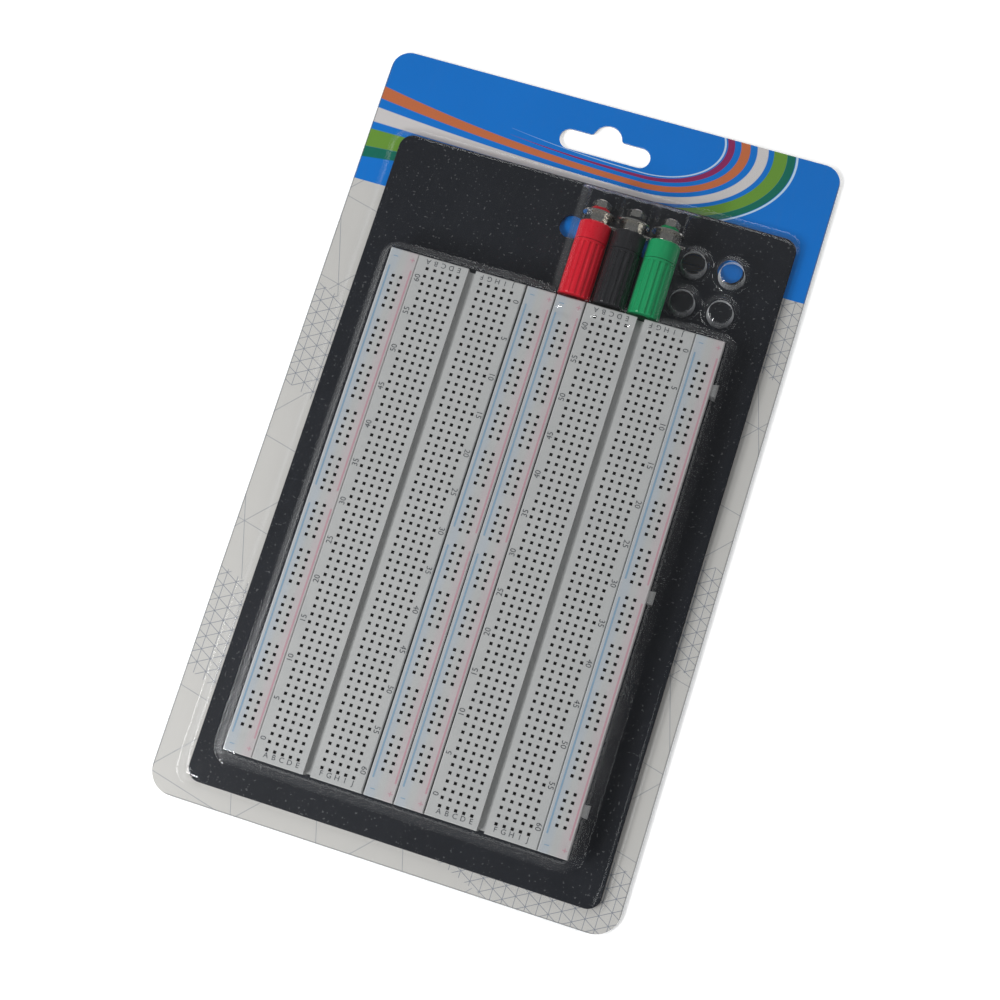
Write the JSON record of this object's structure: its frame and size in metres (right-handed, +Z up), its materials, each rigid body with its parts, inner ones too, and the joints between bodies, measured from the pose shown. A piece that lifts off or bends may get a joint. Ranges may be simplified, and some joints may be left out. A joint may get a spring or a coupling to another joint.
{
  "type": "solderless breadboard",
  "caption": "Solderless breadboard kit: six grey socket strips on a black metal plate, with loose binding posts and clear feet, in a hanging blister pack.",
  "frame": {"origin": "centre of the pack's underside, on the surface that it lies on", "axes": "+X across the pack, +Y along the pack towards the hanging slot, +Z up through the sockets"},
  "size_m": [0.1524, 0.2524, 0.0142],
  "materials": {
    "printed_card": "gloss-coated printed card, blue header over warm grey",
    "clear_blister": "clear formed plastic sheet, glossy",
    "plate_paint": "black fine-texture paint, satin",
    "strip_plastic": "light grey moulded ABS, fine texture",
    "spring_bronze": "tin-plated phosphor bronze",
    "foam_tape": "double-sided foam tape",
    "red_moulding": "red moulded plastic, semi-gloss",
    "black_moulding": "black moulded plastic, semi-gloss",
    "green_moulding": "green moulded plastic, semi-gloss",
    "plated_brass": "nickel-plated turned brass",
    "nickel_plate": "nickel-plated steel",
    "clear_bumper": "clear soft polyurethane"
  },
  "bodies": {
    "kit": {"base_plate": "plate_paint", "black_end_nut": "nickel_plate", "black_flat_washer": "nickel_plate", "black_front_bush": "black_moulding", "black_panel_nut": "nickel_plate", "black_rear_bush": "black_moulding", "black_solder_lug": "nickel_plate", "black_stud": "plated_brass", "blister_shell": "clear_blister", "bus_clips_1": "spring_bronze", "bus_clips_2": "spring_bronze", "bus_clips_3": "spring_bronze", "bus_clips_4": "spring_bronze", "bus_strip_1": "strip_plastic", "bus_strip_2": "strip_plastic", "bus_strip_3": "strip_plastic", "bus_strip_4": "strip_plastic", "bus_tape_1": "foam_tape", "bus_tape_2": "foam_tape", "bus_tape_3": "foam_tape", "bus_tape_4": "foam_tape", "foot_1": "clear_bumper", "foot_2": "clear_bumper", "foot_3": "clear_bumper", "foot_4": "clear_bumper", "green_end_nut": "nickel_plate", "green_flat_washer": "nickel_plate", "green_front_bush": "green_moulding", "green_panel_nut": "nickel_plate", "green_rear_bush": "green_moulding", "green_solder_lug": "nickel_plate", "green_stud": "plated_brass", "red_end_nut": "nickel_plate", "red_flat_washer": "nickel_plate", "red_front_bush": "red_moulding", "red_panel_nut": "nickel_plate", "red_rear_bush": "red_moulding", "red_solder_lug": "nickel_plate", "red_stud": "plated_brass", "terminal_clips_1": "spring_bronze", "terminal_clips_2": "spring_bronze", "terminal_strip_1": "strip_plastic", "terminal_strip_2": "strip_plastic", "terminal_tape_1": "foam_tape", "terminal_tape_2": "foam_tape"},
    "backing_card": {"hang_card": "printed_card"},
    "red_cap_travel": {"red_cap_sleeve": "plated_brass"},
    "red_cap_turn": {"red_cap": "red_moulding"},
    "black_cap_travel": {"black_cap_sleeve": "plated_brass"},
    "black_cap_turn": {"black_cap": "black_moulding"},
    "green_cap_travel": {"green_cap_sleeve": "plated_brass"},
    "green_cap_turn": {"green_cap": "green_moulding"}
  },
  "joints": [
    {"name": "card_slide", "type": "slide", "parent": "kit", "child": "backing_card", "axis": [0, 1, 0], "range_m": [0, 0.252]},
    {"name": "red_cap_slide", "type": "slide", "parent": "kit", "child": "red_cap_travel", "axis": [0, -1, 0], "range_m": [0, 0.00075]},
    {"name": "red_cap_unscrew", "type": "hinge", "parent": "red_cap_travel", "child": "red_cap_turn", "pos_m": [0.0057, 0.0785, 0.008], "axis": [0, -1, 0], "range_deg": [0, 360]},
    {"name": "black_cap_slide", "type": "slide", "parent": "kit", "child": "black_cap_travel", "axis": [0, -1, 0], "range_m": [0, 0.00075]},
    {"name": "black_cap_unscrew", "type": "hinge", "parent": "black_cap_travel", "child": "black_cap_turn", "pos_m": [0.01705, 0.0785, 0.008], "axis": [0, -1, 0], "range_deg": [0, 360]},
    {"name": "green_cap_slide", "type": "slide", "parent": "kit", "child": "green_cap_travel", "axis": [0, -1, 0], "range_m": [0, 0.00075]},
    {"name": "green_cap_unscrew", "type": "hinge", "parent": "green_cap_travel", "child": "green_cap_turn", "pos_m": [0.0284, 0.0785, 0.008], "axis": [0, -1, 0], "range_deg": [0, 360]}
  ],
  "couplings": [
    {"joint": "red_cap_unscrew", "follows": "red_cap_slide", "rad_per_m": 8377.5},
    {"joint": "black_cap_unscrew", "follows": "black_cap_slide", "rad_per_m": 8377.5},
    {"joint": "green_cap_unscrew", "follows": "green_cap_slide", "rad_per_m": 8377.5}
  ]
}
